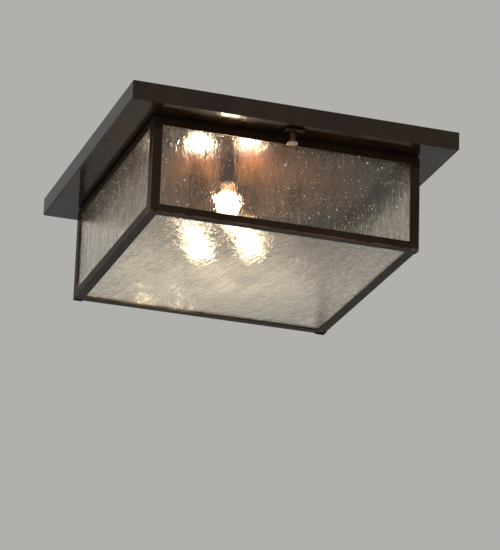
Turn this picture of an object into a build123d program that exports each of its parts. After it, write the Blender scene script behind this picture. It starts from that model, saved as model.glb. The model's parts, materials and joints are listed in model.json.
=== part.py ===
"""Square flush mount ceiling light: a folded canopy with a hinged box of seedy glass under it.

Millimetres, +Z up. The origin is the middle of the ceiling plane that the canopy sits against, so the whole
light lies below z = 0. The front, with the thumbscrew, faces -Y. The hinges are at the back, +Y.
"""

import os
from math import atan2, cos, degrees, radians, sin

from build123d import *

# Glass box, hung under the canopy
BOX_W = 355.0
BOX_H = 129.0
SEAT_GAP = 3.0
ANGLE_W = 12.7
ANGLE_T = 1.5
ANGLE_R = 0.8
TOP_FACE_H = 9.5
BOTTOM_FACE_H = 10.0
FOOT_H = 1.2
GLASS_T = 3.0
GLASS_PLAY = 0.5

# Canopy: a square pan of folded sheet, open towards the ceiling
OVERHANG = 38.5
CANOPY_H = 24.0
SHEET_T = 1.2
FOLD_R = 2.0
RETURN_W = 9.0

# Clips that keep the side panes against the frame
CLIP_W = 12.0
CLIP_T = 1.0
CLIP_DROP = 9.0
CLIP_REACH = 6.5
CLIP_PITCH = 180.0

# Seal strips between the canopy and the frame
SEAL_W = 7.0
SEAL_INSET = 2.0
SEAL_PLAY = 0.3

# Front tab and thumbscrew
TAB_W = 25.0
TAB_END = 13.0
TAB_T = 1.5
TAB_CLIP = 3.0
SCREW_R = 2.4
SCREW_PLAY = 0.35
SCREW_LEAD_IN = 1.0
WASHER_RIM = 3.25
WASHER_T = 0.8
KNOB_R = 7.1
KNOB_CLEAR = 7.9
KNOB_NECK_R = 4.2
KNOB_NECK_H = 9.3
KNOB_FLARE_H = 2.2
KNOB_RIM_H = 2.2
KNOB_DOME_H = 1.2
KNURLS = 24
KNURL_R = 0.55
KNURL_MARGIN = 0.4
CLINCH_WALL = 2.05
CLINCH_H = 4.5

# Butt hinges at the back
HINGE_PITCH = 220.0
HINGE_W = 40.0
HINGE_LEAF_T = 1.2
HINGE_FOOT_MARGIN = 0.3
HINGE_CORNER_R = 3.0
KNUCKLE_W = 15.6
KNUCKLE_WALL = 1.5
KNUCKLE_PLAY = 0.2
PIN_R = 1.45
PIN_PLAY = 0.05
PIN_HEAD_R = 2.2
PIN_HEAD_H = 0.8
RUN_PLAY = 0.3
RIVET_R = 1.6
RIVET_HEAD_R = 3.0
RIVET_HEAD_H = 1.3
RIVET_PITCH = 24.0
RIVET_BACK = 13.0
LEAF_END = 7.0

# Mounting strap on the ceiling's outlet box, with the studs that carry the canopy
STRAP_W = 20.0
STRAP_T = 2.0
STRAP_END = 10.0
BOX_SCREW_PITCH = 88.9
BOX_SLOT_L = 24.0
BOX_SLOT_R = 2.4
STRAP_BORE_R = 5.15
STUD_MARGIN = 11.55
STUD_R = 2.4
THREAD_PLAY = 0.05
HOLE_PLAY = 0.3
LOCKNUT_AF = 8.0
LOCKNUT_H = 3.0
CAP_NUT_R = 5.5
CAP_NUT_DEPTH = 24.0
CAP_NUT_END = 0.7
CAP_NUT_DOME_H = 5.0
CAP_NUT_FLANGE_R = 7.0
CAP_NUT_FLANGE_H = 1.5
GROUND_X = 20.0
GROUND_R = 1.9
GROUND_AF = 8.0
GROUND_HEAD_H = 3.5

# Three lampholders, screwed to the canopy through nipples
LAMP_PLACES = [(12.0, 20.0), (-48.0, 54.0), (-45.0, -73.0)]
NIPPLE_R = 4.8
NIPPLE_WALL = 1.5
NIPPLE_UP = 8.0
NIPPLE_DOWN = 10.0
NIPPLE_NUT_AF = 12.5
NIPPLE_NUT_H = 3.5
CUP_ROOM = 1.2
CUP_T = 1.0
CUP_SHOULDER_R = 3.0
CUP_COVER = 1.0
CUP_LIP = 0.7
HOLDER_SEAT = 0.5
HOLDER_HUB_WALL = 2.75
HOLDER_HUB_H = 7.0
HOLDER_WALL = 2.0
HOLDER_WEB = 5.2
SHELL_PLAY = 0.45
SHELL_T = 0.7
SHELL_H = 18.0
CONTACT_R = 3.0
CONTACT_H = 1.4

# Candelabra lamps, base up
BASE_R = 5.95
BASE_T = 0.5
BASE_FLARE = 0.85
BASE_SHOW = 2.5
TIP_R = 2.4
TIP_H = 1.8
TIP_CONE_H = 1.5
BULB_R = 12.5
BULB_H = 60.0
BULB_WAIST_H = 24.0
BULB_TIP_R = 4.5
BULB_T = 0.8

# Levels that follow from the sizes above, from the ceiling down
UNDERSIDE = -CANOPY_H
PAN_FLOOR = UNDERSIDE + SHEET_T
FRAME_TOP = UNDERSIDE - SEAT_GAP
FEET = UNDERSIDE - BOX_H
RAIL_LOW = FEET + FOOT_H
PANE_LOW = RAIL_LOW + ANGLE_T + GLASS_T
PANE_HIGH = FRAME_TOP - ANGLE_T - GLASS_PLAY
HOLDER_TOP = UNDERSIDE - CUP_T - NIPPLE_NUT_H - HOLDER_SEAT
THREAD_LOW = UNDERSIDE - NIPPLE_DOWN - HOLE_PLAY
CONTACT_TOP = THREAD_LOW - HOLDER_WEB
SHELL_LOW = CONTACT_TOP - SHELL_H
HOLDER_LOW = SHELL_LOW - HOLDER_SEAT
CUP_LOW = HOLDER_LOW - CUP_COVER
TIP_TOP = CONTACT_TOP - CONTACT_H
BASE_TOP = TIP_TOP - TIP_H - TIP_CONE_H
BULB_TOP = HOLDER_LOW - BASE_SHOW

# Sizes and places that follow from what each piece fits
CANOPY_W = BOX_W + 2 * OVERHANG
HALF_BOX = BOX_W / 2
PANE_OUT = HALF_BOX - ANGLE_T - RUN_PLAY
SCREW_OUT = KNOB_R + KNOB_CLEAR
SCREW_Y = -HALF_BOX - SCREW_OUT
SCREW_HOLE_R = SCREW_R + SCREW_PLAY
KNUCKLE_R = PIN_R + PIN_PLAY + KNUCKLE_WALL
HINGE_Y = HALF_BOX + KNUCKLE_R + RUN_PLAY
HINGE_Z = UNDERSIDE - KNUCKLE_R - RUN_PLAY
STUD_PITCH = BOX_SCREW_PITCH + BOX_SLOT_L + 2 * STUD_MARGIN
STUD_L = CANOPY_H + CAP_NUT_DEPTH
NIPPLE_THREAD_R = NIPPLE_R + THREAD_PLAY
BASE_RIM_R = BASE_R + BASE_FLARE
SHELL_R = BASE_R + SHELL_PLAY + SHELL_T
HOLDER_R = SHELL_R + THREAD_PLAY + HOLDER_WALL
CUP_R = HOLDER_R + CUP_ROOM + CUP_T
STUD_PLACES = [(-STUD_PITCH / 2, 0), (STUD_PITCH / 2, 0)]
HINGE_PLACES = {"left": -HINGE_PITCH / 2, "right": HINGE_PITCH / 2}
RIVET_PLACES = [
    (middle + step * RIVET_PITCH / 2, HINGE_Y + RIVET_BACK)
    for middle in HINGE_PLACES.values()
    for step in (-1, 1)
]

# Quarter turns that bring the front, or its left-hand corner, round to each side and corner
SIDES = {"front": 0, "right": 90, "back": 180, "left": 270}
CORNERS = {"front_left": 0, "front_right": 90, "back_right": 180, "back_left": 270}

os.makedirs("parts", exist_ok=True)


def keep(piece, name):
    """Labels a finished piece and writes its file."""
    piece.label = name
    export_step(piece, f"parts/{name}.step")


def side_plane(turn, level):
    """A level plane whose -Y faces the side at that turn, so every side is drawn like the front."""
    return Plane((0, 0, level), x_dir=(cos(radians(turn)), sin(radians(turn)), 0), z_dir=(0, 0, 1))


def upright_plane(x, y):
    """An upright plane through a vertical axis: its X is the radius and its Y is the height."""
    return Plane((x, y, 0), x_dir=(1, 0, 0), z_dir=(0, -1, 0))


def upright_axis(x, y):
    """The vertical axis that round pieces at x, y are turned about."""
    return Axis((x, y, 0), (0, 0, 1))


def knuckle_plane(x, way):
    """An upright plane across the hinge line at x, facing along it."""
    return Plane((x, HINGE_Y, HINGE_Z), x_dir=(0, 1, 0), z_dir=(way, 0, 0))


def dome_arc(radius, level, height):
    """Half the outline of a round dome that hangs from a level, from its lowest point out to its rim."""
    sphere_r = (radius**2 + height**2) / (2 * height)
    return CenterArc((0, level - height + sphere_r), sphere_r, 270, degrees(atan2(radius, sphere_r - height)))


def turned(outline, x, y):
    """A turned piece: a closed outline of (radius, level), spun about the vertical axis at x, y."""
    with BuildPart() as piece:
        with BuildSketch(upright_plane(x, y)):
            with BuildLine():
                Polyline(*outline, close=True)
            make_face()
        revolve(axis=upright_axis(x, y))
    return piece.part


def hex_nuts(places, lows, height, across_flats, bore_r):
    """Hexagon nuts, one at each place and level."""
    with BuildPart() as nuts:
        for low in lows:
            with BuildSketch(Plane.XY.offset(low)):
                with Locations(*places):
                    RegularPolygon(across_flats / 2, 6, major_radius=False)
                    Circle(bore_r, mode=Mode.SUBTRACT)
            extrude(amount=height)
    return nuts.part


# Canopy pan, with the holes for its studs, lampholders, hinge rivets and thumbscrew
with BuildPart() as canopy_pan:
    with BuildSketch(Plane.XY.offset(UNDERSIDE)):
        RectangleRounded(CANOPY_W, CANOPY_W, FOLD_R)
    extrude(amount=CANOPY_H)
    fillet(canopy_pan.faces().sort_by(Axis.Z)[0].edges(), FOLD_R)
    offset(amount=-SHEET_T, openings=canopy_pan.faces().sort_by(Axis.Z)[-1])
    with BuildSketch(Plane.XY.offset(-SHEET_T)):
        RectangleRounded(CANOPY_W, CANOPY_W, FOLD_R)
        Rectangle(CANOPY_W - 2 * RETURN_W, CANOPY_W - 2 * RETURN_W, mode=Mode.SUBTRACT)
    extrude(amount=SHEET_T)
    with BuildSketch(Plane.XY.offset(UNDERSIDE)):
        with Locations(*STUD_PLACES):
            Circle(STUD_R + HOLE_PLAY)
        with Locations(*LAMP_PLACES):
            Circle(NIPPLE_R + HOLE_PLAY)
        with Locations(*RIVET_PLACES):
            Circle(RIVET_R)
        with Locations((0, SCREW_Y)):
            Circle(SCREW_HOLE_R)
    extrude(amount=SHEET_T, mode=Mode.SUBTRACT)
keep(canopy_pan.part, "canopy_pan")

# Seal strips, cut short at the corners; the front one is thinner over the tab
seal_out = HALF_BOX - SEAL_INSET
with BuildPart() as seal_strips:
    for name, turn in SIDES.items():
        shorter = 0 if name in ("front", "back") else 2 * (SEAL_W + SEAL_PLAY)
        with BuildSketch(side_plane(turn, UNDERSIDE)):
            with Locations((0, -seal_out + SEAL_W / 2)):
                Rectangle(2 * seal_out - shorter, SEAL_W)
        extrude(amount=-(SEAT_GAP - SEAL_PLAY))
    with BuildSketch(Plane.XY.offset(FRAME_TOP)):
        with Locations((0, -HALF_BOX)):
            Rectangle(TAB_W + 2 * RUN_PLAY, 2 * ANGLE_W)
    extrude(amount=TAB_T + SEAL_PLAY, mode=Mode.SUBTRACT)
keep(seal_strips.part, "seal_strips")

# Mounting strap: slots for the outlet box, a wire bore, stud holes and the ground screw's hole
with BuildPart() as mounting_strap:
    with BuildSketch(Plane.XY.offset(-STRAP_T)):
        SlotOverall(STUD_PITCH + 2 * STRAP_END, STRAP_W)
        with GridLocations(BOX_SCREW_PITCH, 0, 2, 1):
            SlotOverall(BOX_SLOT_L, 2 * BOX_SLOT_R, mode=Mode.SUBTRACT)
        Circle(STRAP_BORE_R, mode=Mode.SUBTRACT)
        with Locations(*STUD_PLACES):
            Circle(STUD_R + THREAD_PLAY, mode=Mode.SUBTRACT)
        with Locations((GROUND_X, 0)):
            Circle(GROUND_R + THREAD_PLAY, mode=Mode.SUBTRACT)
    extrude(amount=STRAP_T)
keep(mounting_strap.part, "mounting_strap")

with BuildPart() as mounting_studs:
    with BuildSketch():
        with Locations(*STUD_PLACES):
            Circle(STUD_R)
    extrude(amount=-STUD_L)
keep(mounting_studs.part, "mounting_studs")

locknut_low = -STRAP_T - LOCKNUT_H
stud_locknuts = hex_nuts(STUD_PLACES, [locknut_low], LOCKNUT_H, LOCKNUT_AF, STUD_R + THREAD_PLAY)
keep(stud_locknuts, "stud_locknuts")

# Long flanged cap nuts under the canopy, domed at the bottom
cap_bore_low = UNDERSIDE - CAP_NUT_DEPTH - HOLE_PLAY
cap_dome_top = cap_bore_low - CAP_NUT_END
cap_flange_low = UNDERSIDE - CAP_NUT_FLANGE_H
with BuildPart() as cap_nuts:
    for stud_x, stud_y in STUD_PLACES:
        with BuildSketch(upright_plane(stud_x, stud_y)):
            with BuildLine():
                dome = dome_arc(CAP_NUT_R, cap_dome_top, CAP_NUT_DOME_H)
                Polyline(
                    dome @ 1,
                    (CAP_NUT_R, cap_flange_low),
                    (CAP_NUT_FLANGE_R, cap_flange_low),
                    (CAP_NUT_FLANGE_R, UNDERSIDE),
                    (STUD_R + THREAD_PLAY, UNDERSIDE),
                    (STUD_R + THREAD_PLAY, cap_bore_low),
                    (0, cap_bore_low),
                    dome @ 0,
                )
            make_face()
        revolve(axis=upright_axis(stud_x, stud_y))
keep(cap_nuts.part, "cap_nuts")

# Green ground screw, hung in the strap
with BuildPart() as ground_screw:
    with BuildSketch(Plane.XY.offset(-STRAP_T)):
        with Locations((GROUND_X, 0)):
            RegularPolygon(GROUND_AF / 2, 6, major_radius=False)
    extrude(amount=-GROUND_HEAD_H)
    with BuildSketch(Plane.XY.offset(-STRAP_T)):
        with Locations((GROUND_X, 0)):
            Circle(GROUND_R)
    extrude(amount=STRAP_T)
keep(ground_screw.part, "ground_screw")

# Threaded nipples that carry the lampholders, each with a locknut above and below the canopy
with BuildPart() as lamp_nipples:
    with BuildSketch(Plane.XY.offset(PAN_FLOOR + NIPPLE_UP)):
        with Locations(*LAMP_PLACES):
            Circle(NIPPLE_R)
            Circle(NIPPLE_R - NIPPLE_WALL, mode=Mode.SUBTRACT)
    extrude(amount=-(NIPPLE_UP + SHEET_T + NIPPLE_DOWN))
keep(lamp_nipples.part, "lamp_nipples")

nipple_nut_lows = [PAN_FLOOR, UNDERSIDE - CUP_T - NIPPLE_NUT_H]
nipple_nuts = hex_nuts(LAMP_PLACES, nipple_nut_lows, NIPPLE_NUT_H, NIPPLE_NUT_AF, NIPPLE_THREAD_R)
keep(nipple_nuts, "nipple_nuts")


def lamp_cup(x, y):
    """Spun metal cup over a lampholder: a flat top, a rounded shoulder, a straight skirt and a rolled lip."""
    with BuildPart() as cup:
        with BuildSketch(Plane.XY.offset(CUP_LOW)):
            with Locations((x, y)):
                Circle(CUP_R)
        extrude(amount=UNDERSIDE - CUP_LOW)
        fillet(cup.faces().sort_by(Axis.Z)[-1].edges(), CUP_SHOULDER_R)
        offset(amount=-CUP_T, openings=cup.faces().sort_by(Axis.Z)[0])
        with BuildSketch(Plane.XY.offset(CUP_LOW)):
            with Locations((x, y)):
                Circle(CUP_R + CUP_LIP)
                Circle(CUP_R - CUP_T, mode=Mode.SUBTRACT)
        extrude(amount=2 * CUP_LIP)
        with BuildSketch(Plane.XY.offset(UNDERSIDE)):
            with Locations((x, y)):
                Circle(NIPPLE_R + HOLE_PLAY)
        extrude(amount=-CUP_T, mode=Mode.SUBTRACT)
    return cup.part


def lampholder(x, y):
    """Moulded insulating body: a hub on the nipple and a deep round pocket for the screw shell."""
    hub_r = NIPPLE_THREAD_R + HOLDER_HUB_WALL
    hub_low = HOLDER_TOP - HOLDER_HUB_H
    pocket_r = SHELL_R + THREAD_PLAY
    outline = [
        (NIPPLE_THREAD_R, HOLDER_TOP),
        (hub_r, HOLDER_TOP),
        (hub_r, hub_low),
        (HOLDER_R, hub_low),
        (HOLDER_R, HOLDER_LOW),
        (pocket_r, HOLDER_LOW),
        (pocket_r, CONTACT_TOP),
        (0, CONTACT_TOP),
        (0, THREAD_LOW),
        (NIPPLE_THREAD_R, THREAD_LOW),
    ]
    return turned(outline, x, y)


def screw_shell(x, y):
    """Brass sleeve that the lamp's base screws into."""
    inner_r = SHELL_R - SHELL_T
    outline = [
        (inner_r, SHELL_LOW),
        (SHELL_R, SHELL_LOW),
        (SHELL_R, CONTACT_TOP),
        (inner_r, CONTACT_TOP),
    ]
    return turned(outline, x, y)


def centre_contact(x, y):
    """Brass button at the top of the pocket."""
    return turned([(0, TIP_TOP), (CONTACT_R, TIP_TOP), (CONTACT_R, CONTACT_TOP), (0, CONTACT_TOP)], x, y)


def lamp_base(x, y):
    """Screw base: a thin sleeve that flares to a wider rim, which holds the glass."""
    inner_r = BASE_R - BASE_T
    flare_top = BULB_TOP + BASE_FLARE + BASE_T
    outline = [
        (inner_r, BASE_TOP),
        (BASE_R, BASE_TOP),
        (BASE_R, flare_top),
        (BASE_RIM_R, BULB_TOP),
        (BASE_RIM_R - BASE_T, BULB_TOP),
        (inner_r, flare_top),
    ]
    return turned(outline, x, y)


def lamp_tip(x, y):
    """Insulating cone and end contact on top of the base."""
    cone_top = BASE_TOP + TIP_CONE_H
    outline = [(0, BASE_TOP), (BASE_R, BASE_TOP), (TIP_R, cone_top), (TIP_R, TIP_TOP), (0, TIP_TOP)]
    return turned(outline, x, y)


def bulb_line(inset):
    """Half the outline of the candle-shaped bulb, that far inside its outer surface, as four tangent arcs."""
    neck_r = BASE_RIM_R - inset
    belly_r = BULB_R - inset
    tip_r = BULB_TIP_R - inset
    waist = BULB_TOP - BULB_WAIST_H
    tip_centre = BULB_TOP - BULB_H + BULB_TIP_R
    drop = waist - tip_centre
    arc_r = (drop**2 / (belly_r - tip_r) + belly_r + tip_r) / 2
    share = tip_r / (arc_r - tip_r)
    tip_end = (share * (arc_r - belly_r), tip_centre - share * drop)
    middle = ((neck_r + belly_r) / 2, (BULB_TOP + waist) / 2)
    neck = TangentArc((neck_r, BULB_TOP), middle, tangent=(0, -1))
    TangentArc((belly_r, waist), middle, tangent=(0, 1))
    TangentArc((belly_r, waist), tip_end, tangent=(0, -1))
    tip = TangentArc((0, tip_centre - tip_r), tip_end, tangent=(1, 0))
    return neck @ 0, tip @ 0


def lamp_bulb(x, y):
    """Hollow glass envelope: widest below the neck, drawn to a rounded tip."""
    with BuildPart() as envelope:
        with BuildSketch(upright_plane(x, y)):
            with BuildLine():
                outer_neck, outer_tip = bulb_line(0)
                inner_neck, inner_tip = bulb_line(BULB_T)
                Line(outer_neck, inner_neck)
                Line(outer_tip, inner_tip)
            make_face()
        revolve(axis=upright_axis(x, y))
    return envelope.part


# One set of lamp pieces at each place
lamp_pieces = {
    "lamp_cup": lamp_cup,
    "lampholder": lampholder,
    "screw_shell": screw_shell,
    "centre_contact": centre_contact,
    "lamp_base": lamp_base,
    "lamp_tip": lamp_tip,
    "lamp_bulb": lamp_bulb,
}
for number, (lamp_x, lamp_y) in enumerate(LAMP_PLACES, start=1):
    for name, make in lamp_pieces.items():
        keep(make(lamp_x, lamp_y), f"{name}_{number}")

# Clinch nut pressed into the canopy, which the thumbscrew goes into
with BuildPart() as clinch_nut:
    with BuildSketch(Plane.XY.offset(PAN_FLOOR)):
        with Locations((0, SCREW_Y)):
            Circle(SCREW_HOLE_R + CLINCH_WALL)
            Circle(SCREW_HOLE_R, mode=Mode.SUBTRACT)
    extrude(amount=CLINCH_H)
keep(clinch_nut.part, "clinch_nut")


def corner_post(turn):
    """Angle strip standing at the corner to the left of the side at that turn."""
    with BuildPart() as post:
        with BuildSketch(side_plane(turn, FEET)):
            with BuildLine():
                Polyline(
                    (-HALF_BOX, -HALF_BOX),
                    (-HALF_BOX + ANGLE_W, -HALF_BOX),
                    (-HALF_BOX + ANGLE_W, -HALF_BOX + ANGLE_T),
                    (-HALF_BOX + ANGLE_T, -HALF_BOX + ANGLE_T),
                    (-HALF_BOX + ANGLE_T, -HALF_BOX + ANGLE_W),
                    (-HALF_BOX, -HALF_BOX + ANGLE_W),
                    close=True,
                )
            make_face()
        extrude(amount=FRAME_TOP - FEET)
        heel = side_plane(turn, FEET).from_local_coords((-HALF_BOX, -HALF_BOX, 0))
        fillet(post.edges().filter_by(Axis.Z).sort_by_distance(heel)[0], ANGLE_R)
    return post.part


def rail(turn, low, face_h, flange_low):
    """Angle strip between two posts: an upright face, and a flange turned in with mitred ends."""
    end = HALF_BOX - ANGLE_W
    with BuildPart() as strip:
        with BuildSketch(side_plane(turn, low)):
            with Locations((0, -HALF_BOX + ANGLE_T / 2)):
                Rectangle(2 * end, ANGLE_T)
        extrude(amount=face_h)
        with BuildSketch(side_plane(turn, flange_low)):
            with BuildLine():
                Polyline(
                    (-end, -HALF_BOX),
                    (end, -HALF_BOX),
                    (end, -HALF_BOX + ANGLE_T),
                    (HALF_BOX - ANGLE_T, -HALF_BOX + ANGLE_T),
                    (end, -end),
                    (-end, -end),
                    (-HALF_BOX + ANGLE_T, -HALF_BOX + ANGLE_T),
                    (-end, -HALF_BOX + ANGLE_T),
                    close=True,
                )
            make_face()
        extrude(amount=ANGLE_T)
        heel_level = low if flange_low == low else low + face_h
        heel = side_plane(turn, heel_level).from_local_coords((0, -HALF_BOX, 0))
        fillet(strip.edges().sort_by_distance(heel)[0], ANGLE_R)
    return strip.part


# Frame of the glass box
for name, turn in CORNERS.items():
    keep(corner_post(turn), f"post_{name}")
for name, turn in SIDES.items():
    keep(rail(turn, FRAME_TOP - TOP_FACE_H, TOP_FACE_H, FRAME_TOP - ANGLE_T), f"top_rail_{name}")
    keep(rail(turn, RAIL_LOW, BOTTOM_FACE_H, RAIL_LOW), f"bottom_rail_{name}")

# Bottom pane on the bottom flanges, and side panes standing on it behind the frame
with BuildPart() as bottom_pane:
    with BuildSketch(Plane.XY.offset(RAIL_LOW + ANGLE_T)):
        Rectangle(2 * PANE_OUT, 2 * PANE_OUT)
    extrude(amount=GLASS_T)
keep(bottom_pane.part, "bottom_pane")

for name, turn in SIDES.items():
    shorter = 0 if name in ("front", "back") else 2 * (GLASS_T + GLASS_PLAY)
    with BuildPart() as pane:
        with BuildSketch(side_plane(turn, PANE_LOW)):
            with Locations((0, -PANE_OUT + GLASS_T / 2)):
                Rectangle(2 * PANE_OUT - shorter, GLASS_T)
        extrude(amount=PANE_HIGH - PANE_LOW)
    keep(pane.part, f"{name}_pane")

# Bent clips under the top flanges, two behind each side pane
clip_out = PANE_OUT - GLASS_T - RUN_PLAY
clip_top = FRAME_TOP - ANGLE_T
clip_places = [(-CLIP_PITCH / 2, -clip_out), (CLIP_PITCH / 2, -clip_out)]
with BuildPart() as pane_clips:
    for turn in SIDES.values():
        with BuildSketch(side_plane(turn, clip_top)):
            with Locations(*clip_places):
                Rectangle(CLIP_W, CLIP_REACH, align=(Align.CENTER, Align.MIN))
        extrude(amount=-CLIP_T)
        with BuildSketch(side_plane(turn, clip_top)):
            with Locations(*clip_places):
                Rectangle(CLIP_W, CLIP_T, align=(Align.CENTER, Align.MIN))
        extrude(amount=-CLIP_DROP)
keep(pane_clips.part, "pane_clips")

# Front tab: a flat ear lying on the front top rail, with clipped outer corners
tab_reach = SCREW_OUT + TAB_END
with BuildPart() as front_tab:
    with BuildSketch(Plane.XY.offset(FRAME_TOP)):
        with Locations((0, -HALF_BOX - tab_reach)):
            Rectangle(TAB_W, tab_reach + ANGLE_W - ANGLE_T, align=(Align.CENTER, Align.MIN))
    extrude(amount=TAB_T)
    chamfer(front_tab.edges().filter_by(Axis.Z).group_by(Axis.Y)[0], TAB_CLIP)
    with BuildSketch(Plane.XY.offset(FRAME_TOP)):
        with Locations((0, SCREW_Y)):
            Circle(SCREW_HOLE_R)
    extrude(amount=TAB_T, mode=Mode.SUBTRACT)
keep(front_tab.part, "front_tab")

# Washer under the tab
with BuildPart() as screw_washer:
    with BuildSketch(Plane.XY.offset(FRAME_TOP - WASHER_T)):
        with Locations((0, SCREW_Y)):
            Circle(SCREW_HOLE_R + WASHER_RIM)
            Circle(SCREW_HOLE_R, mode=Mode.SUBTRACT)
    extrude(amount=WASHER_T)
keep(screw_washer.part, "screw_washer")

# Thumbscrew: a plain shank, a round neck and a flat round head with a knurled rim
knob_top = FRAME_TOP - WASHER_T
neck_low = knob_top - KNOB_NECK_H
rim_top = neck_low - KNOB_FLARE_H
rim_low = rim_top - KNOB_RIM_H
shank_top = PAN_FLOOR + CLINCH_H + SCREW_LEAD_IN
with BuildPart() as thumbscrew:
    with BuildSketch(upright_plane(0, SCREW_Y)):
        with BuildLine():
            dome = dome_arc(KNOB_R, rim_low, KNOB_DOME_H)
            Polyline(
                dome @ 0,
                (0, shank_top),
                (SCREW_R - SCREW_LEAD_IN, shank_top),
                (SCREW_R, shank_top - SCREW_LEAD_IN),
                (SCREW_R, knob_top),
                (KNOB_NECK_R, knob_top),
                (KNOB_NECK_R, neck_low),
                (KNOB_R, rim_top),
                dome @ 1,
            )
        make_face()
    revolve(axis=upright_axis(0, SCREW_Y))
    with BuildSketch(Plane.XY.offset(rim_top - KNURL_MARGIN)):
        with Locations((0, SCREW_Y)):
            with PolarLocations(KNOB_R, KNURLS):
                Circle(KNURL_R)
    extrude(amount=-(KNOB_RIM_H - 2 * KNURL_MARGIN), mode=Mode.SUBTRACT)
keep(thumbscrew.part, "thumbscrew")


def canopy_leaf(middle):
    """Leaf riveted under the canopy, with two outer knuckles and a notch for the inner one."""
    notch_w = KNUCKLE_W + 2 * KNUCKLE_PLAY
    with BuildPart() as leaf:
        with BuildSketch(Plane.XY.offset(UNDERSIDE - HINGE_LEAF_T)):
            with Locations((middle, HINGE_Y)):
                Rectangle(HINGE_W, RIVET_BACK + LEAF_END, align=(Align.CENTER, Align.MIN))
                Rectangle(notch_w, 2 * (KNUCKLE_R + RUN_PLAY), mode=Mode.SUBTRACT)
            for step in (-1, 1):
                with Locations((middle + step * RIVET_PITCH / 2, HINGE_Y + RIVET_BACK)):
                    Circle(RIVET_R, mode=Mode.SUBTRACT)
        extrude(amount=HINGE_LEAF_T)
        fillet(leaf.edges().filter_by(Axis.Z).group_by(Axis.Y)[-1], HINGE_CORNER_R)
        for edge, way in ((middle - HINGE_W / 2, 1), (middle + HINGE_W / 2, -1)):
            with BuildSketch(knuckle_plane(edge, way)):
                Circle(KNUCKLE_R)
            extrude(amount=(HINGE_W - notch_w) / 2)
        with BuildSketch(knuckle_plane(middle - HINGE_W / 2, 1)):
            Circle(PIN_R + PIN_PLAY)
        extrude(amount=HINGE_W, mode=Mode.SUBTRACT)
    return leaf.part


def box_leaf(middle):
    """Leaf on the back top rail's face, with the inner knuckle on a short tongue."""
    foot_top = HINGE_Z - KNUCKLE_R - RUN_PLAY
    foot_low = FRAME_TOP - TOP_FACE_H + HINGE_FOOT_MARGIN
    with BuildPart() as leaf:
        with BuildSketch(Plane((middle, HALF_BOX, foot_low))):
            Rectangle(HINGE_W, HINGE_LEAF_T, align=(Align.CENTER, Align.MIN))
        extrude(amount=foot_top - foot_low)
        with BuildSketch(Plane((middle, HALF_BOX, foot_low))):
            Rectangle(KNUCKLE_W, HINGE_LEAF_T, align=(Align.CENTER, Align.MIN))
        extrude(amount=HINGE_Z - foot_low)
        with BuildSketch(knuckle_plane(middle - KNUCKLE_W / 2, 1)):
            Circle(KNUCKLE_R)
        extrude(amount=KNUCKLE_W)
        with BuildSketch(knuckle_plane(middle - KNUCKLE_W / 2, 1)):
            Circle(PIN_R + PIN_PLAY)
        extrude(amount=KNUCKLE_W, mode=Mode.SUBTRACT)
    return leaf.part


def hinge_pin(middle):
    """Pin through all three knuckles, with a low head at each end."""
    with BuildPart() as pin:
        with BuildSketch(knuckle_plane(middle - HINGE_W / 2, 1)):
            Circle(PIN_R)
        extrude(amount=HINGE_W)
        for edge, way in ((middle - HINGE_W / 2, -1), (middle + HINGE_W / 2, 1)):
            with BuildSketch(knuckle_plane(edge, way)):
                Circle(PIN_HEAD_R)
            extrude(amount=PIN_HEAD_H)
    return pin.part


# The two hinges
for name, middle in HINGE_PLACES.items():
    keep(canopy_leaf(middle), f"hinge_canopy_leaf_{name}")
    keep(box_leaf(middle), f"hinge_box_leaf_{name}")
    keep(hinge_pin(middle), f"hinge_pin_{name}")

# Rivets through the hinge leaves and the canopy, domed below and flat above
leaf_low = UNDERSIDE - HINGE_LEAF_T
with BuildPart() as hinge_rivets:
    for rivet_x, rivet_y in RIVET_PLACES:
        with BuildSketch(upright_plane(rivet_x, rivet_y)):
            with BuildLine():
                dome = dome_arc(RIVET_HEAD_R, leaf_low, RIVET_HEAD_H)
                Polyline(
                    dome @ 1,
                    (RIVET_R, leaf_low),
                    (RIVET_R, PAN_FLOOR),
                    (RIVET_HEAD_R, PAN_FLOOR),
                    (RIVET_HEAD_R, PAN_FLOOR + RIVET_HEAD_H),
                    (0, PAN_FLOOR + RIVET_HEAD_H),
                    dome @ 0,
                )
            make_face()
        revolve(axis=upright_axis(rivet_x, rivet_y))
keep(hinge_rivets.part, "hinge_rivets")
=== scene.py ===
# %% [markdown]
# # A square ceiling light in dark bronze and seedy glass
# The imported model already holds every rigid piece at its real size: a folded canopy, a hinged frame of
# angle strip, three small lamps and the thumbscrew that keeps the box shut. This lesson gives those
# pieces their finishes and puts drawn, bubbly glass in place of the flat panes. Everything is in metres,
# in the model's own frame, with the ceiling at z = 0.

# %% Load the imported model
import json
from math import cos, pi, radians, sin

import bpy
import numpy as np
from mathutils import Matrix, Vector


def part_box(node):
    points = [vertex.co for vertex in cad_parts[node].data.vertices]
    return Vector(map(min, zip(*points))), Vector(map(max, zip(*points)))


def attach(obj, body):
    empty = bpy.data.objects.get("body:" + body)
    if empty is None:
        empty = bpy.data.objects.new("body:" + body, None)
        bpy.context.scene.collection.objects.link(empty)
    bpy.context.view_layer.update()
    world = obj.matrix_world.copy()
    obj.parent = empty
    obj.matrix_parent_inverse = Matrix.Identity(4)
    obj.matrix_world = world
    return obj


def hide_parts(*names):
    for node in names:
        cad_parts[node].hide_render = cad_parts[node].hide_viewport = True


X, Y, Z = range(3)

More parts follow.
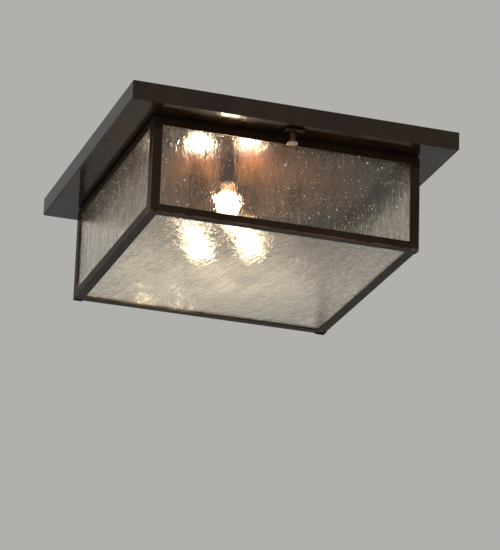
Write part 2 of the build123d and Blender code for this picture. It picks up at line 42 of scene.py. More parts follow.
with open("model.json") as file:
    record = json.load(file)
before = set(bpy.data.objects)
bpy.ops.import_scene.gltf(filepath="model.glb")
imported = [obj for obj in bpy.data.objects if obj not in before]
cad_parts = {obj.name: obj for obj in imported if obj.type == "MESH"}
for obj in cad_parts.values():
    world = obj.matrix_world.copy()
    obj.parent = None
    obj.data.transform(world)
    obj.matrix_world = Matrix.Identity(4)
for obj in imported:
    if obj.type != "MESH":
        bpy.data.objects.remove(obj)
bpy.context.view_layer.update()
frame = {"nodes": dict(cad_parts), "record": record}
nodes = frame["nodes"]

# %% [markdown]
# ## The camera
# The light was photographed from below with a long lens. The plan of such a light is square, so its four
# lower corners are enough to work out where the camera stood. The frame is 500 by 550 pixels, and Blender
# lays the sensor's 36 mm along the longer side, which turns a focal length in pixels into one in
# millimetres.

# %% Place the camera
CAMERA_PLACE = Vector((-1.1007, -3.4650, -1.4818))
CAMERA_AHEAD = Vector((0.2871, 0.8941, 0.3438)).normalized()
CAMERA_ROLL = radians(1.93)
FOCAL_PIXELS = 2985.4
FRAME_PIXELS = (500, 550)
SENSOR_MM = 36.0
FARTHEST_SEEN = 100


def turned_camera(ahead, roll):
    """Columns right, up and back of a camera that looks ahead, turned about its own line of sight."""
    level = ahead.cross(Vector((0, 0, 1))).normalized()
    below = ahead.cross(level)
    right = cos(roll) * level - sin(roll) * below
    return Matrix((right, right.cross(ahead), -ahead)).transposed()


camera_data = bpy.data.cameras.new("photo_camera")
camera_data.sensor_width = SENSOR_MM
camera_data.lens = SENSOR_MM * FOCAL_PIXELS / max(FRAME_PIXELS)
camera_data.clip_end = FARTHEST_SEEN
camera = bpy.data.objects.new("photo_camera", camera_data)
camera.matrix_world = Matrix.Translation(CAMERA_PLACE) @ turned_camera(CAMERA_AHEAD, CAMERA_ROLL).to_4x4()
bpy.context.scene.collection.objects.link(camera)
bpy.context.scene.camera = camera
bpy.context.scene.view_settings.view_transform = "Standard"
print("lens", round(camera_data.lens, 1), "mm")

# %% [markdown]
# ## Sums on sockets
# A finish is mostly arithmetic: a pattern, scaled and shifted, mixed with another. Building that from
# nodes by hand hides the arithmetic, so one small class wraps a socket and lets Python's own operators
# add the Math nodes. Every other kind of node comes from its one method, which takes the settings first
# and the sockets after.


# %% A socket that can be added and multiplied
class Wire:
    """An output socket of a node tree, which can stand in a sum with numbers and other wires."""

    def __init__(self, tree, socket):
        self.tree = tree
        self.socket = socket

    def node(self, kind, settings, sockets, output=0):
        """Add a node to this wire's tree: its settings first, then a value or a wire for each socket."""
        made = self.tree.nodes.new(kind)
        for name, value in settings.items():
            setattr(made, name, value)
        for name, value in sockets.items():
            if isinstance(value, Wire):
                self.tree.links.new(value.socket, made.inputs[name])
            else:
                made.inputs[name].default_value = value
        return Wire(self.tree, made.outputs[output])

    def math(self, operation, first, second):
        """One Math node on two values."""
        return self.node("ShaderNodeMath", {"operation": operation}, {0: first, 1: second})

    def __add__(self, other):
        return self.math("ADD", self, other)

    def __sub__(self, other):
        return self.math("SUBTRACT", self, other)

    def __rsub__(self, other):
        return self.math("SUBTRACT", other, self)

    def __mul__(self, other):
        return self.math("MULTIPLY", self, other)

    def __truediv__(self, other):
        return self.math("DIVIDE", self, other)

    def __rtruediv__(self, other):
        return self.math("DIVIDE", other, self)

    def __pow__(self, other):
        return self.math("POWER", self, other)

    def __rpow__(self, other):
        return self.math("POWER", other, self)

    def __abs__(self):
        return self.math("ABSOLUTE", self, 0.0)

    __radd__ = __add__
    __rmul__ = __mul__


print("operators ready")


# %% [markdown]
# ## Patterns that the finishes share
# Each finish starts from the same place: a Principled shader whose constants are set on its own sockets,
# and the object coordinates of the piece. Noise, stretched noise and bumps are used again and again, so
# they get short names here.


# %% Start a finish
def start_finish(name, constants):
    """A new material, its shader with those constants, and a wire of object coordinates in metres."""
    material = bpy.data.materials.new(name)
    material.use_nodes = True
    tree = material.node_tree
    shader = tree.nodes["Principled BSDF"]
    for socket, value in constants.items():
        shader.inputs[socket].default_value = value
    place = Wire(tree, tree.nodes.new("ShaderNodeTexCoord").outputs["Object"])
    return material, shader, place


def feed(shader, wires):
    """Link wires to the shader's sockets."""
    for socket, wire in wires.items():
        wire.tree.links.new(wire.socket, shader.inputs[socket])


def axis_of(place, axis):
    """One coordinate alone."""
    return place.node("ShaderNodeSeparateXYZ", {}, {"Vector": place}, output=axis)


print("finishes can start")


# %% Patterns and how they are mixed
def stretched(place, scale, turn=0.0):
    """Coordinates turned about z, then multiplied by axis: a pattern draws out along the small factor."""
    turned = place.node("ShaderNodeMapping", {}, {"Vector": place, "Rotation": (0, 0, turn)})
    return place.node("ShaderNodeMapping", {}, {"Vector": turned, "Scale": scale})


def noise(place, scale, detail=3.0, roughness=0.55):
    """Cloudy noise between 0 and 1 with about that many patches in a metre."""
    return place.node(
        "ShaderNodeTexNoise", {}, {"Vector": place, "Scale": scale, "Detail": detail, "Roughness": roughness}
    )


def cells(place, scale):
    """Distance to the nearest of points scattered about that many in a metre."""
    return place.node("ShaderNodeTexVoronoi", {}, {"Vector": place, "Scale": scale})


def swing(pattern, amount):
    """A pattern's rise and fall about its middle: amount * (pattern - 1/2)."""
    return amount * (pattern - 0.5)


def ramp(value, low, high, start=0.0, end=1.0):
    """A value carried from one range to another and held at its ends."""
    sockets = {"Value": value, "From Min": low, "From Max": high, "To Min": start, "To Max": end}
    return value.node("ShaderNodeMapRange", {}, sockets)


def between(share, first, second):
    """Two colours mixed by a share."""
    settings = {"data_type": "RGBA"}
    return share.node("ShaderNodeMix", settings, {0: share, 6: first, 7: second}, output=2)


def bump(height, distance, strength=1.0):
    """A normal from a height, which a value of 1 raises by the distance in metres."""
    return height.node("ShaderNodeBump", {}, {"Height": height, "Distance": distance, "Strength": strength})


print("patterns ready")

# %% [markdown]
# ## Dark bronze
# The metal is steel sheet and angle strip with a dark, oil-rubbed bronze finish under clear lacquer:
# nearly black where it turns away, brown to copper where a lamp catches it, and almost a mirror at a
# shallow angle, as the panes' images in the canopy show. A brown metallic shader gives the warm
# reflections that a plain dark paint would lack, and a coat over it gives the mirror. Four places differ.
# The canopy's underside has a painted pool of lamp light: it turns to copper round the lamps, where their
# light falls on it. The lamps' cups are a copper copy of the bronze, painted as the lamps' light on them.
# The frame's outer edges are rubbed to copper here and there, and the thumbscrew's bottom face has a
# painted highlight. One function makes every grade, so that they stay one metal.

# %% Where the bronze changes
EDGE_BARE = 0.0003
EDGE_DARK = 0.0016
# How far the painted pool of lamp light reaches from the middle, and how much its border wanders.
LAMPLIGHT_FULL = 0.04
LAMPLIGHT_GONE = 0.18
LAMPLIGHT_WANDER = 0.1


def edge_share(place, half, low):
    """1 on the outer edges of a square frame: far in x and in y, or far in one of them and low as well."""
    far_x, far_y = (ramp(abs(axis_of(place, axis)), half - EDGE_DARK, half - EDGE_BARE) for axis in (X, Y))
    lower = ramp(axis_of(place, Z), low + EDGE_BARE, low + EDGE_DARK, 1.0, 0.0)
    upright_edge = far_x * far_y
    lower_edge = lower * place.math("MAXIMUM", far_x, far_y)
    return place.math("MAXIMUM", upright_edge, lower_edge)


# The share of painted lamp light on the canopy's underside.
def painted_lamplight_share(place, mottle, level):
    """1 near the origin and below the level, falling to 0 with the distance, with a mottled border."""
    away = place.node("ShaderNodeVectorMath", {"operation": "LENGTH"}, {0: place}, output=1)
    near = ramp(away + swing(mottle, LAMPLIGHT_WANDER), LAMPLIGHT_FULL, LAMPLIGHT_GONE, 1.0, 0.0)
    return near * place.math("LESS_THAN", axis_of(place, Z), level)


# The copper round the middle of the canopy's underside is painted lamp light.
print("rubbed edges", EDGE_DARK, "wide, heat to", LAMPLIGHT_GONE, "from the middle")

# %% Bronze
DARK_BROWN = (0.016, 0.008, 0.0045, 1)
BROWN = (0.036, 0.018, 0.009, 1)
COPPER = (0.180, 0.086, 0.038, 1)
EDGE_BROWN = (0.14, 0.09, 0.06, 1)
# Copper of the painted lamp light on the canopy's underside.
LAMPLIGHT_COPPER = (0.19, 0.086, 0.036, 1)
# Tone of the painted highlight on the thumbscrew's bottom face.
KNOB_HIGHLIGHT_TONE = (0.42, 0.34, 0.26, 1)
RUB_STRETCH = (70, 70, 25)
PEEL_SCALE = 1100
PEEL_DEPTH = 0.00001


def bronze(name, tones, gloss, lacquer, lacquer_gloss, lamplight_level=None, highlight_levels=None, edge=None):
    """Metal mottled from one tone to another under lacquer, mixed with copper by its edge share and by
    painted lamp light, with a painted highlight low down.
    """
    constants = {
        "Metallic": 0.6,
        "Specular IOR Level": 0.2,
        "Specular Tint": EDGE_BROWN,
        "Coat IOR": 1.5,
        "Coat Roughness": lacquer_gloss,
    }
    material, shader, place = start_finish(name, constants)
    mottle = noise(place, 16, detail=4)
    rubbed = noise(stretched(place, RUB_STRETCH), 1, detail=5)
    colour = between(ramp(0.6 * mottle + 0.4 * rubbed, 0.3, 0.75), *tones)
    if edge:
        colour = between(edge_share(place, *edge) * ramp(rubbed, 0.35, 0.6), colour, COPPER)
    # A painted highlight: the bright tone below the first height, fading out by the second.
    if highlight_levels:
        colour = between(ramp(axis_of(place, Z), *highlight_levels), KNOB_HIGHLIGHT_TONE, colour)
    # A painted pool of lamp light: copper on the canopy's underside round the lamps.
    if lamplight_level:
        colour = between(painted_lamplight_share(place, mottle, lamplight_level), colour, LAMPLIGHT_COPPER)
    feed(
        shader,
        {
            "Base Color": colour,
            "Roughness": gloss + swing(mottle, 0.1) + swing(rubbed, 0.06),
            "Coat Weight": lacquer + swing(mottle, 0.2),
            "Normal": bump(noise(place, PEEL_SCALE, detail=2), PEEL_DEPTH, 0.5),
        },
    )
    return material


print("tones from", DARK_BROWN[:3], "to", COPPER[:3])

# %% Grades of bronze
HALF_SHEET = 0.0006
# Heights above the thumbscrew's lowest point where its painted highlight is full and where it is gone.
KNOB_HIGHLIGHT_FULL = 0.0012
KNOB_HIGHLIGHT_GONE = 0.0034
PLAIN = (DARK_BROWN, BROWN)

sheet_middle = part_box("canopy_pan")[0].z + HALF_SHEET
frame_edge = (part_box("post_back_right")[1].x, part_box("bottom_rail_front")[0].z)
knob_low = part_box("thumbscrew")[0].z
knob_highlight_levels = (knob_low + KNOB_HIGHLIGHT_FULL, knob_low + KNOB_HIGHLIGHT_GONE)
finishes = {
    # The canopy's underside gets the painted pool of lamp light below its sheet's middle.
    "bronze_canopy": bronze(
        "bronze_canopy", PLAIN, gloss=0.36, lacquer=0.6, lacquer_gloss=0.03, lamplight_level=sheet_middle
    ),
    "bronze_frame": bronze(
        "bronze_frame", PLAIN, gloss=0.40, lacquer=0.25, lacquer_gloss=0.12, edge=frame_edge
    ),
    "bronze_trim": bronze("bronze_trim", PLAIN, gloss=0.30, lacquer=0.5, lacquer_gloss=0.06),
}
own_finishes = {
    # The thumbscrew's bottom face carries a painted highlight.
    "thumbscrew": bronze(
        "knob_painted_highlight",
        (DARK_BROWN, COPPER),
        gloss=0.16,
        lacquer=0.6,
        lacquer_gloss=0.04,
        highlight_levels=knob_highlight_levels,
    ),
    # The lamps' cups: a lighter, copper copy of the bronze, painted as the lamps' light on them.
    "lamp_cup": bronze("lamplit_cup_bronze", (BROWN, COPPER), gloss=0.36, lacquer=0.3, lacquer_gloss=0.10),
}
print(list(finishes), list(own_finishes))

# %% [markdown]
# ## Brass, zinc and the small parts
# Inside the canopy the fittings are plain plated steel, brass and black phenolic. The studs, the nipples
# and the lamps' bases are threaded. Such fine threads look like rings from any distance, so a triangle
# wave over the height draws them as a bump, and the metal keeps its size.

# %% Threads and plating
FINE_RELIEF = 0.00005
ZINC_TONES = ((0.46, 0.46, 0.44, 1), (0.66, 0.66, 0.63, 1))
BRASS_TONES = ((0.70, 0.53, 0.25, 1), (0.48, 0.33, 0.14, 1))


def relief(place, cloud, pitch):
    """The normal of a plated surface: faintly uneven, or with the rings of a thread where it has a pitch."""
    if pitch is None:
        return bump(cloud, FINE_RELIEF)
    height = axis_of(place, Z)
    return bump(height.math("PINGPONG", height / pitch, 0.5), pitch)


def zinc(name, pitch=None):
    """Zinc-plated steel: grey with a faint spangle."""
    material, shader, place = start_finish(name, {"Metallic": 1.0})
    cloud = noise(place, 90)
    colour = between(ramp(0.5 * cells(place, 420) + cloud, 0.4, 1.0), *ZINC_TONES)
    normal = relief(place, cloud, pitch)
    feed(shader, {"Base Color": colour, "Roughness": 0.26 + 0.22 * cloud, "Normal": normal})
    return material


def brass(name, pitch=None):
    """Stamped brass with a light tarnish."""
    material, shader, place = start_finish(name, {"Metallic": 1.0})
    tarnish = noise(place, 160, detail=5)
    colour = between(ramp(tarnish, 0.35, 0.7), *BRASS_TONES)
    normal = relief(place, tarnish, pitch)
    feed(shader, {"Base Color": colour, "Roughness": 0.16 + 0.25 * tarnish, "Normal": normal})
    return material


print("plating ready")

# %% Mouldings, foam and the ground screw
PHENOLIC_TONES = ((0.016, 0.014, 0.012, 1), (0.045, 0.038, 0.032, 1))
GREEN_TONES = ((0.03, 0.21, 0.06, 1), (0.34, 0.40, 0.30, 1))
FOAM_TONES = ((0.003, 0.0025, 0.002, 1), (0.010, 0.008, 0.006, 1))
PORE_DEPTH = 0.0003


def phenolic(name):
    """Black moulded phenolic with a fine mineral filler."""
    material, shader, place = start_finish(name, {})
    filler = noise(place, 1500, detail=2)
    cloud = noise(place, 120)
    colour = between(ramp(filler, 0.45, 0.75), *PHENOLIC_TONES)
    feed(shader, {"Base Color": colour, "Roughness": 0.42 + 0.2 * cloud, "Normal": bump(filler, FINE_RELIEF)})
    return material


def green_screw(name):
    """The green coat of a ground screw, worn thin in patches."""
    material, shader, place = start_finish(name, {"Metallic": 0.6})
    worn = noise(place, 600, detail=4)
    colour = between(ramp(worn, 0.55, 0.75), *GREEN_TONES)
    feed(shader, {"Base Color": colour, "Roughness": 0.3 + 0.3 * worn, "Normal": bump(worn, FINE_RELIEF)})
    return material


def foam(name):
    """Black closed-cell foam, full of fine pores."""
    material, shader, place = start_finish(name, {"Specular IOR Level": 0.03})
    pores = cells(place, 900)
    colour = between(ramp(pores, 0.1, 0.6), *FOAM_TONES)
    feed(shader, {"Base Color": colour, "Roughness": 0.8 + 0.15 * pores, "Normal": bump(pores, PORE_DEPTH)})
    return material


print("mouldings ready")

# %% Finishes of the fittings
STUD_PITCH = 0.0008
NIPPLE_PITCH = 0.0014
LAMP_PITCH = 0.0025

finishes |= {
    "zinc_steel": zinc("zinc_steel"),
    "contact_brass": brass("contact_brass"),
    "lamp_base_metal": brass("lamp_base_metal"),
    "lampholder_phenolic": phenolic("lampholder_phenolic"),
    "ground_green": green_screw("ground_green"),
    "seal_foam": foam("seal_foam"),
}
own_finishes |= {
    "mounting_studs": zinc("stud_thread", STUD_PITCH),
    "lamp_nipples": zinc("nipple_thread", NIPPLE_PITCH),
    "lamp_base": brass("base_thread", LAMP_PITCH),
    "screw_shell": brass("shell_thread", LAMP_PITCH),
}
print(len(finishes), "finishes by slot and", len(own_finishes), "by piece")

# %% [markdown]
# ## Lit lamps
# The three candle lamps are on. A frosted envelope hides its filament and glows as a whole, whitest round
# the belly and amber where the glass narrows to the base and to the tip. Emission with a colour that
# follows the height gives that without a light inside every bulb.

# %% Frosted glow
GLOW_STRENGTH = 170.0
FROSTED = (0.9, 0.86, 0.78, 1)
CORE = (1.0, 0.82, 0.56, 1)
RIM = (0.006, 0.0028, 0.0009, 1)
BELLY = 0.48
BELLY_HALF = 0.03
GLOW_HALF = 0.46
GLOW_FALL = 3


def frosted_glow(name, low, high):
    """Frosted glass that shines from rim to core by ramp(|height - belly|) ** fall, faintly clouded."""
    constants = {"Base Color": FROSTED, "Emission Strength": GLOW_STRENGTH}
    material, shader, place = start_finish(name, constants)
    height = (axis_of(place, Z) - low) / (high - low)
    frost = noise(place, 260)
    away = abs(height - BELLY) + 0.06 * frost
    glow = between(ramp(away, BELLY_HALF, GLOW_HALF, 1.0, 0.0) ** GLOW_FALL, RIM, CORE)
    feed(shader, {"Emission Color": glow, "Roughness": 0.35 + 0.2 * frost})
    return material


bulb_low, bulb_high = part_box("lamp_bulb_1")
finishes["lamp_glass"] = frosted_glow("lamp_glass", bulb_low.z, bulb_high.z)
print("bulbs from", round(bulb_low.z, 4), "to", round(bulb_high.z, 4))

# %% [markdown]
# ## Seedy glass
# The panes are clear, faintly straw-coloured glass made to look old: drawn, so that it ripples along one
# direction, and full of small bubbles called seeds. The four upright panes ripple up and down. The bottom
# pane has long streaks from front to back that lean a little to one side. The long waves are real
# geometry further on. The fine ripples, the pits and the low lumps are too small for that and come from
# bumps. The ground between the lumps is flat, so a lamp seen through them keeps a bright core inside a
# rippled halo. The back pane has the shallowest ripples, so that it mirrors the lamps. Ripples, pits and
# dust also scatter light, which clear glass alone would not, so a Mix Shader gives their grains a little of
# a Translucent shader. That makes the glass glow near the lamps and stay clear away from them.

# %% Glass finish
CLEAR = (0.985, 0.965, 0.92, 1)
WARM_WHITE = (1.0, 0.95, 0.86, 1)
GLASS_IOR = 1.5
POLISHED = 0.015


def seedy_glass(name, stretch, lump_stretch, depth, lumps, haze, veil, dim, turn=0.0):
    """Glass of height depth * (ripple + 0.6 streak + 0.35 pits + lumps), with part-translucent grains."""
    material, shader, place = start_finish(name, {"Transmission Weight": 1.0, "IOR": GLASS_IOR})
    drawn = stretched(place, stretch, turn)
    ripple = noise(drawn, 1.0, detail=2.0, roughness=0.5)
    streak = noise(drawn, 0.3, detail=2.0)
    waves = 0.65 * ripple + 0.35 * streak
    pits = ramp(cells(place, 230), 0.0, 0.18, 1.0, 0.0)
    lump = ramp(noise(stretched(place, lump_stretch, turn), 1.0, detail=2.0), 0.45, 0.75)
    normal = bump(ripple + 0.6 * streak + 0.35 * pits + lumps * lump, depth)
    feed(
        shader,
        {
            "Base Color": between(ramp(waves, 0.36, 0.64), dim, CLEAR),
            "Roughness": POLISHED + haze * ramp(waves, 0.36, 0.66),
            "Normal": normal,
        },
    )
    clear = Wire(place.tree, shader.outputs["BSDF"])
    cloudy = place.node("ShaderNodeBsdfTranslucent", {}, {"Color": WARM_WHITE, "Normal": normal})
    share = veil * (0.1 + ramp(waves, 0.30, 0.70) + 0.4 * pits)
    both = place.node("ShaderNodeMixShader", {}, {0: share, 1: clear, 2: cloudy})
    place.tree.links.new(both.socket, place.tree.nodes["Material Output"].inputs["Surface"])
    return material


print("glass ready")

# %% Glass of each pane
# Patches in a metre: ripples across the pull, along it, through the glass and along the bottom pane's streaks
FINE = 380.0
DRAWN = 60.0
THROUGH = 15.0
LONG = 14.0
LUMPS_ACROSS = 220.0
LUMPS_THROUGH = 90.0
LUMPS_ALONG = 80.0
LEAN = radians(-11)
STRAW = (0.78, 0.745, 0.66, 1)
PALE_STRAW = (0.78, 0.765, 0.70, 1)
UPRIGHT_VEIL = 0.009

front_glass = seedy_glass(
    "front_seedy_glass",
    stretch=(FINE, THROUGH, DRAWN),
    lump_stretch=(LUMPS_ACROSS, LUMPS_THROUGH, LUMPS_ALONG),
    depth=0.0002,
    lumps=0.9,
    haze=0.04,
    veil=UPRIGHT_VEIL,
    dim=STRAW,
)
back_glass = seedy_glass(
    "back_seedy_glass",
    stretch=(FINE, THROUGH, DRAWN),
    lump_stretch=(LUMPS_ACROSS, LUMPS_THROUGH, LUMPS_ALONG),
    depth=0.00004,
    lumps=0.4,
    haze=0.01,
    veil=UPRIGHT_VEIL,
    dim=STRAW,
)
side_glass = seedy_glass(
    "side_seedy_glass",
    stretch=(THROUGH, FINE, DRAWN),
    lump_stretch=(LUMPS_THROUGH, LUMPS_ACROSS, LUMPS_ALONG),
    depth=0.0002,
    lumps=0.9,
    haze=0.04,
    veil=UPRIGHT_VEIL,
    dim=STRAW,
)
bottom_glass = seedy_glass(
    "bottom_seedy_glass",
    stretch=(1.3 * FINE, LONG, THROUGH),
    lump_stretch=(260.0, 80.0, 90.0),
    depth=0.00017,
    lumps=1.4,
    haze=0.03,
    veil=0.06,
    dim=PALE_STRAW,
    turn=LEAN,
)
print(front_glass.name, back_glass.name, side_glass.name, bottom_glass.name)

# %% [markdown]
# ## Finishes on the model's own pieces
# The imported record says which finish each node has, so one loop dresses them all. The thumbscrew, the
# lamps' cups and the threaded pieces have their own, found by the node's name without its number. The
# flat panes get none, because the drawn ones take their place.

# %% Dress the nodes
for subpart in frame["record"]["subparts"]:
    finish = own_finishes.get(subpart["node"].rstrip("_123"), finishes.get(subpart["material_slot"]))
    if finish is not None:
        mesh = nodes[subpart["node"]].data
        mesh.materials.clear()
        mesh.materials.append(finish)
print(sum(1 for node in nodes.values() if node.data.materials), "nodes dressed")

# %% [markdown]
# ## Drawn panes
# A pane is a slab whose two large faces wander a fraction of a millimetre into it. Each face is a height
# over a flat grid: a sum of sine waves across the pull, whose phase drifts slowly along it. The two faces
# have their own waves, so the glass is thicker here and thinner there and bends what is behind it.

# %% Waves of drawn glass
WAVE_LENGTHS = np.array([0.071, 0.037, 0.021, 0.012])
WAVE_HEIGHTS = np.array([0.07, 0.045, 0.025, 0.012]) * 1e-3
DRIFT_LENGTH = 0.13
SLOW_DRIFT = 1.6
QUICK_DRIFT = 0.9


def drawn_waves(across, along, random):
    """Depth below the flat face: the sum of h * sin(2 pi a / length + drift(s)) + h, a drift of sines."""
    phase = random.uniform(0, 2 * pi, (3, len(WAVE_LENGTHS), 1, 1))
    slow = SLOW_DRIFT * np.sin(2 * pi * along / DRIFT_LENGTH + phase[1])
    quick = QUICK_DRIFT * np.sin(5 * pi * along / DRIFT_LENGTH + phase[2])
    turns = 2 * pi * across / WAVE_LENGTHS[:, None, None] + phase[0] + (slow + quick)
    return np.sum(WAVE_HEIGHTS[:, None, None] * (1 + np.sin(turns)), axis=0)


print("waves up to", round(2e3 * WAVE_HEIGHTS.sum(), 2), "mm deep")


# %% Meshes that ride on the box
def new_piece(name, points, faces, finish, body):
    """A mesh object at the origin, smooth, with one finish, that moves with a body."""
    mesh = bpy.data.meshes.new(name)
    mesh.from_pydata(points.tolist(), [], faces)
    mesh.shade_smooth()
    mesh.materials.append(finish)
    piece = bpy.data.objects.new(name, mesh)
    bpy.context.scene.collection.objects.link(piece)
    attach(piece, body)
    return piece


def slab_faces(rows, columns):
    """Quads of two grids of points, one after the other in a list, and of the wall that joins their rims."""
    index = np.arange(rows * columns).reshape(rows, columns)
    under = rows * columns
    corners = [index[:-1, :-1], index[1:, :-1], index[1:, 1:], index[:-1, 1:]]
    sheet = np.stack(corners, axis=-1).reshape(-1, 4)
    rim = np.concatenate([index[0, :-1], index[:-1, -1], index[-1, :0:-1], index[:0:-1, 0]])
    after = np.roll(rim, -1)
    wall = np.stack([rim, after, after + under, rim + under], axis=-1)
    return np.concatenate([sheet, sheet[:, ::-1] + under, wall])


print(len(slab_faces(2, 2)), "faces on the smallest slab")

# %% Build the panes
GRID_ACROSS = 0.0012
GRID_ALONG = 0.0035


def drawn_pane(node, pull, finish, random):
    """A wavy slab in place of a flat pane, whose pull runs along one axis of the frame."""
    low, high = (np.array(corner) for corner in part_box(node))
    thin = int(np.argmin(high - low))
    side = X + Y + Z - thin - pull
    across = np.linspace(low[side], high[side], int((high - low)[side] / GRID_ACROSS))
    along = np.linspace(low[pull], high[pull], int((high - low)[pull] / GRID_ALONG))
    across, along = np.meshgrid(across, along, indexing="ij")
    faces = []
    for level, inward in ((high[thin], -1), (low[thin], 1)):
        points = np.empty((*across.shape, 3))
        points[..., side] = across
        points[..., pull] = along
        points[..., thin] = level + inward * drawn_waves(across, along, random)
        faces.append(points.reshape(-1, 3))
    quads = slab_faces(*across.shape)
    first, second, third = (faces[0][quads[0, corner]] for corner in range(3))
    if np.cross(second - first, third - first)[thin] < 0:
        quads = quads[:, ::-1]
    name = node.replace("pane", "glass")
    pane = new_piece(name, np.concatenate(faces), quads.tolist(), finish, "glass_box")
    pane.visible_shadow = False
    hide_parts(node)
    return pane


random = np.random.default_rng(7)
panes = {
    "front_pane": (Z, front_glass),
    "back_pane": (Z, back_glass),
    "left_pane": (Z, side_glass),
    "right_pane": (Z, side_glass),
    "bottom_pane": (Y, bottom_glass),
}
for node, (pull, finish) in panes.items():
    pane = drawn_pane(node, pull, finish, random)
    print(pane.name, len(pane.data.polygons), "faces")

# %% [markdown]
# ## Seeds
# Most bubbles in the glass are under a millimetre across, and many are drawn long by the pull. All the
# bubbles of a pane are one mesh: a ball of a few dozen faces, scaled and placed for every bubble at once.
# Each is a small bright lens, so it sparkles where the lamps are and stays quiet elsewhere.


# %% One bubble
def ball(rings, sides):
    """Unit ball: (cos a cos b, cos a sin b, sin a) for rings of latitude a, and one point at each pole."""
    latitude = np.linspace(-pi / 2, pi / 2, rings + 2)[1:-1, None]
    longitude = np.arange(sides) * 2 * pi / sides
    east = np.cos(latitude) * np.cos(longitude)
    north = np.cos(latitude) * np.sin(longitude)
    up = np.sin(latitude) + 0 * longitude
    around = np.stack([east, north, up], axis=-1).reshape(-1, 3)
    points = np.concatenate([around, [[0, 0, -1], [0, 0, 1]]])
    here = np.arange(rings * sides).reshape(rings, sides)
    ahead = np.roll(here, -1, axis=1)
    belt = np.stack([here[:-1], ahead[:-1], ahead[1:], here[1:]], axis=-1).reshape(-1, 4)
    lower_cap = np.stack([ahead[0], here[0], np.full(sides, rings * sides)], axis=-1)
    upper_cap = np.stack([here[-1], ahead[-1], np.full(sides, rings * sides + 1)], axis=-1)
    return points, belt, np.concatenate([lower_cap, upper_cap])


def bubble_skin(name):
    """The bright skin of a bubble: clear, smooth and a little cloudy from one to the next."""
    material, shader, place = start_finish(name, {"Transmission Weight": 0.3, "IOR": 1.8})
    cloud = noise(place, 300)
    colour = between(cloud, (0.92, 0.94, 0.92, 1), (1, 1, 1, 1))
    feed(shader, {"Base Color": colour, "Roughness": 0.02 + 0.08 * cloud})
    return material


BUBBLE_RINGS = 3
BUBBLE_SIDES = 8
bubble_points, bubble_belt, bubble_caps = ball(BUBBLE_RINGS, BUBBLE_SIDES)
skin = bubble_skin("bubble_skin")
print(len(bubble_belt) + len(bubble_caps), "faces on a bubble")

# %% Blow the bubbles
BUBBLES_PER_SQUARE_METRE = 17000
BUBBLE_MARGIN = 0.006
BUBBLE_SINK = 0.46  # share of the pane's thickness between a face and the nearest centres
BUBBLE_RADIUS = 0.32e-3
BUBBLE_SPREAD = 0.40  # of the radius's logarithm
SMALLEST_BUBBLE = 0.2e-3
LARGEST_BUBBLE = 0.3  # radius as a share of the pane's thickness
LONGEST_BUBBLE = 1.8  # length over width


def bubbles(node, pull, finish, random):
    """Ellipsoids scattered inside a pane: centre + radii * ball, with the radius along the pull drawn out."""
    low, high = (np.array(corner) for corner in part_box(node))
    thin = int(np.argmin(high - low))
    depth = (high - low)[thin]
    inset = np.full(3, BUBBLE_MARGIN)
    inset[thin] = BUBBLE_SINK * depth
    area = np.prod(np.delete(high - low, thin))
    count = int(area * BUBBLES_PER_SQUARE_METRE)
    centres = random.uniform(low + inset, high - inset, (count, 3))
    radius = random.lognormal(np.log(BUBBLE_RADIUS), BUBBLE_SPREAD, count)
    radius = np.clip(radius, SMALLEST_BUBBLE, LARGEST_BUBBLE * depth)
    radii = np.repeat(radius[:, None], 3, axis=1)
    radii[:, pull] *= random.uniform(1.0, LONGEST_BUBBLE, count)
    points = (centres[:, None] + radii[:, None] * bubble_points).reshape(-1, 3)
    start = (np.arange(count) * len(bubble_points))[:, None, None]
    faces = (start + bubble_belt).reshape(-1, 4).tolist() + (start + bubble_caps).reshape(-1, 3).tolist()
    seeds = new_piece(node.replace("pane", "seeds"), points, faces, finish, "glass_box")
    seeds.visible_shadow = False
    return seeds


for node, (pull, _) in panes.items():
    seeds = bubbles(node, pull, skin, random)
    print(seeds.name, len(seeds.data.polygons), "faces")

# %% [markdown]
# ## Studio
# The light hangs in front of a plain pale backdrop, which is the world itself, so that every view has the
# same one. Metal and glass show that backdrop too. Diffuse surfaces get a slightly brighter, even light,
# and two large soft lamps below give the strips their long highlights. Those lamps are hidden from the
# camera and from rays that pass through glass, because a pane in front of a lamp would look like white
# paper. The pale floor lies far below, out of the way of views from underneath, and has the backdrop's
# colour as it is lit.

# %% Backdrop
BACKDROP = (0.44, 0.435, 0.42, 1)
EVEN_LIGHT = (1, 0.99, 0.97, 1)
EVEN_STRENGTH = 0.75

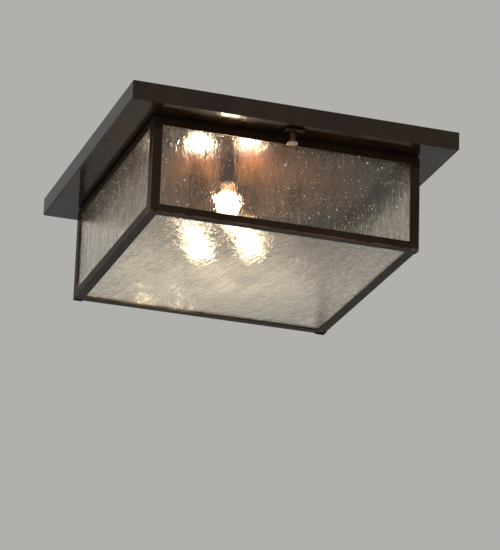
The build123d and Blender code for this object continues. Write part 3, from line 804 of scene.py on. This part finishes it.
world = bpy.data.worlds.new("studio")
world.use_nodes = True
world.node_tree.nodes.clear()
path = world.node_tree.nodes.new("ShaderNodeLightPath")
camera_ray, glossy_ray, through_ray = (
    Wire(world.node_tree, path.outputs[name])
    for name in ("Is Camera Ray", "Is Glossy Ray", "Is Transmission Ray")
)
even = camera_ray.node("ShaderNodeBackground", {}, {"Color": EVEN_LIGHT, "Strength": EVEN_STRENGTH})
seen = camera_ray.node("ShaderNodeBackground", {}, {"Color": BACKDROP, "Strength": 1.0})
shown = camera_ray.math("MINIMUM", camera_ray + glossy_ray + through_ray, 1.0)
sky = camera_ray.node("ShaderNodeMixShader", {}, {0: shown, 1: even, 2: seen})
output = world.node_tree.nodes.new("ShaderNodeOutputWorld")
world.node_tree.links.new(sky.socket, output.inputs["Surface"])
bpy.context.scene.world = world
print("backdrop", BACKDROP[:3])

# %% Lamps and floor
LAMPS_AIM = Vector((0, 0, -0.08))
FLOOR_LEVEL = -4.6
FLOOR_HALF = 30.0
FLOOR_PALE = (0.587, 0.587, 0.576, 1)


def soft_lamp(name, place, side, watts, colour):
    """A square lamp that shines on the middle of the light."""
    data = bpy.data.lights.new(name, "AREA")
    data.size = side
    data.energy = watts
    data.color = colour
    lamp = bpy.data.objects.new(name, data)
    toward = LAMPS_AIM - Vector(place)
    lamp.matrix_world = Matrix.Translation(place) @ toward.to_track_quat("-Z", "Y").to_matrix().to_4x4()
    lamp.visible_camera = False
    lamp.visible_transmission = False
    bpy.context.scene.collection.objects.link(lamp)


soft_lamp("key_lamp", (-2.4, -2.2, -1.0), side=1.6, watts=22, colour=(1, 0.97, 0.93))
soft_lamp("fill_lamp", (2.6, -1.6, -1.6), side=2.0, watts=10, colour=(0.94, 0.97, 1))

floor_mesh = bpy.data.meshes.new("floor")
corners = np.array([[-1, -1], [1, -1], [1, 1], [-1, 1]]) * FLOOR_HALF
floor_mesh.from_pydata(np.column_stack([corners, np.full(4, FLOOR_LEVEL)]).tolist(), [], [[0, 1, 2, 3]])
floor_finish = start_finish("pale_floor", {"Roughness": 0.9, "Base Color": FLOOR_PALE})[0]
floor_mesh.materials.append(floor_finish)
floor = bpy.data.objects.new("floor", floor_mesh)
bpy.context.scene.collection.objects.link(floor)
print("floor at", FLOOR_LEVEL)
